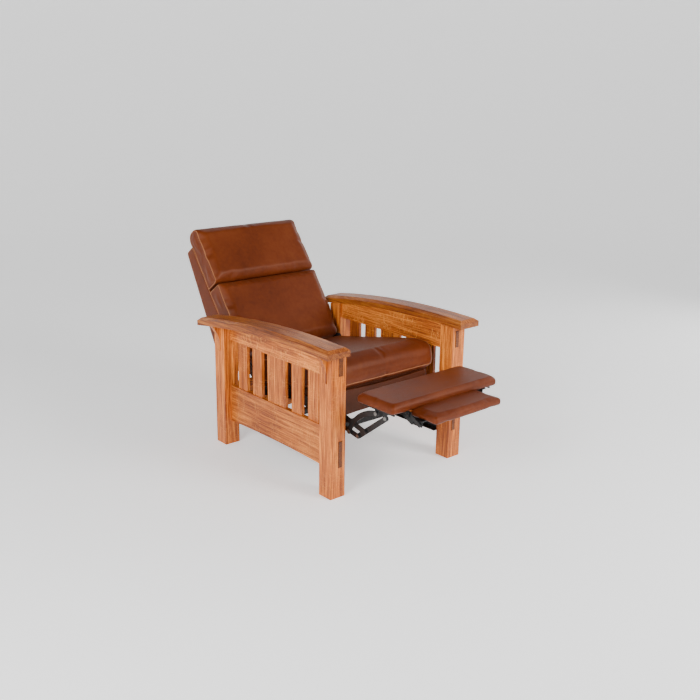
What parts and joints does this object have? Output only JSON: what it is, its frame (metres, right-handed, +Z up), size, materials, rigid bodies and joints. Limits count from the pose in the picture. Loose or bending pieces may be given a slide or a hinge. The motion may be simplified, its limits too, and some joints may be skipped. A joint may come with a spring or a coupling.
{
  "type": "mission reclining armchair",
  "caption": "Oak armchair with slatted sides and bowed arms, thick leather seat and back cushions, a reclining back and a fold-out two-board leather footrest.",
  "frame": {"origin": "on the floor, at the centre of the rectangle that the four corner posts stand in", "axes": "+Z up, -Y is the way a sitter faces (the footrest side), +X is the left hand of a sitter"},
  "size_m": [0.838, 1.5619, 0.9342],
  "materials": {
    "oak": "clear satin-gloss varnish over stained quartersawn oak",
    "frame_wood": "bare softwood, hidden",
    "leather": "smooth semi-gloss chestnut brown leather",
    "black_steel": "satin black enamel",
    "bright_steel": "zinc plated",
    "spring_steel": "drawn wire"
  },
  "bodies": {
    "frame": {"arm_dowels": "oak", "arm_left": "oak", "arm_right": "oak", "base_angle_left": "black_steel", "base_angle_right": "black_steel", "corbel_front_left": "oak", "corbel_front_right": "oak", "corbel_rear_left": "oak", "corbel_rear_right": "oak", "cross_tube_front": "black_steel", "cross_tube_rear": "black_steel", "frame_screws": "bright_steel", "lower_rail_left": "oak", "lower_rail_right": "oak", "mechanism_pins": "bright_steel", "post_front_left": "oak", "post_front_right": "oak", "post_rear_left": "oak", "post_rear_right": "oak", "rear_rail": "oak", "seat_apron": "leather", "seat_cushion": "leather", "seat_frame_front": "leather", "seat_frame_rear": "leather", "seat_frame_side_left": "leather", "seat_frame_side_right": "leather", "seat_springs": "spring_steel", "side_plate_left": "black_steel", "side_plate_right": "black_steel", "slat_left_1": "oak", "slat_left_2": "oak", "slat_left_3": "oak", "slat_left_4": "oak", "slat_left_5": "oak", "slat_right_1": "oak", "slat_right_2": "oak", "slat_right_3": "oak", "slat_right_4": "oak", "slat_right_5": "oak", "top_rail_left": "oak", "top_rail_right": "oak"},
    "back": {"back_cover": "leather", "back_frame": "frame_wood", "lumbar_cushion": "leather", "head_cushion": "leather", "back_bracket_left": "black_steel", "back_bracket_right": "black_steel", "back_screws": "bright_steel"},
    "drive": {"drive_frame": "black_steel", "drive_pins": "bright_steel"},
    "riser": {"riser_links": "black_steel"},
    "guide": {"guide_links": "black_steel"},
    "control": {"control_links": "black_steel"},
    "footboard": {"footrest_board": "leather", "board_brackets": "black_steel", "board_pins": "bright_steel"},
    "extension_front": {"extension_links_front": "black_steel"},
    "extension_rear": {"extension_links_rear": "black_steel"},
    "extension": {"extension_board": "leather", "extension_brackets": "black_steel"}
  },
  "joints": [
    {"name": "back_recline", "type": "hinge", "parent": "frame", "child": "back", "pos_m": [0, 0.318, 0.4], "axis": [1, 0, 0], "range_deg": [-18, 19]},
    {"name": "footrest_drive", "type": "hinge", "parent": "frame", "child": "drive", "pos_m": [0, -0.262, 0.292], "axis": [1, 0, 0], "range_deg": [0, 89.88]},
    {"name": "riser_swing", "type": "hinge", "parent": "drive", "child": "riser", "pos_m": [0, -0.446, 0.258], "axis": [1, 0, 0], "range_deg": [-108.03, 0]},
    {"name": "guide_swing", "type": "hinge", "parent": "frame", "child": "guide", "pos_m": [0, -0.3003, 0.3335], "axis": [1, 0, 0], "range_deg": [0, 88.82]},
    {"name": "control_swing", "type": "hinge", "parent": "drive", "child": "control", "pos_m": [0, -0.39967, 0.26656], "axis": [1, 0, 0], "range_deg": [-108.27, 0]},
    {"name": "board_tilt", "type": "hinge", "parent": "riser", "child": "footboard", "pos_m": [0, -0.6, 0.376], "axis": [1, 0, 0], "range_deg": [0, 108.14]},
    {"name": "extension_front_swing", "type": "hinge", "parent": "footboard", "child": "extension_front", "pos_m": [0, -0.653, 0.398], "axis": [1, 0, 0], "range_deg": [0, 129.26]},
    {"name": "extension_rear_swing", "type": "hinge", "parent": "footboard", "child": "extension_rear", "pos_m": [0, -0.613, 0.398], "axis": [1, 0, 0], "range_deg": [0, 129.26]},
    {"name": "extension_level", "type": "hinge", "parent": "extension_front", "child": "extension", "pos_m": [0, -0.71625, 0.368], "axis": [1, 0, 0], "range_deg": [-129.26, 0]}
  ],
  "couplings": [
    {"joint": "riser_swing", "follows": "footrest_drive", "ratio": -1.2017},
    {"joint": "guide_swing", "follows": "footrest_drive", "ratio": 0.988},
    {"joint": "control_swing", "follows": "footrest_drive", "ratio": -1.2044},
    {"joint": "board_tilt", "follows": "footrest_drive", "ratio": 1.203},
    {"joint": "extension_front_swing", "follows": "footrest_drive", "ratio": 1.4379},
    {"joint": "extension_rear_swing", "follows": "footrest_drive", "ratio": 1.4379},
    {"joint": "extension_level", "follows": "footrest_drive", "ratio": -1.4379}
  ]
}
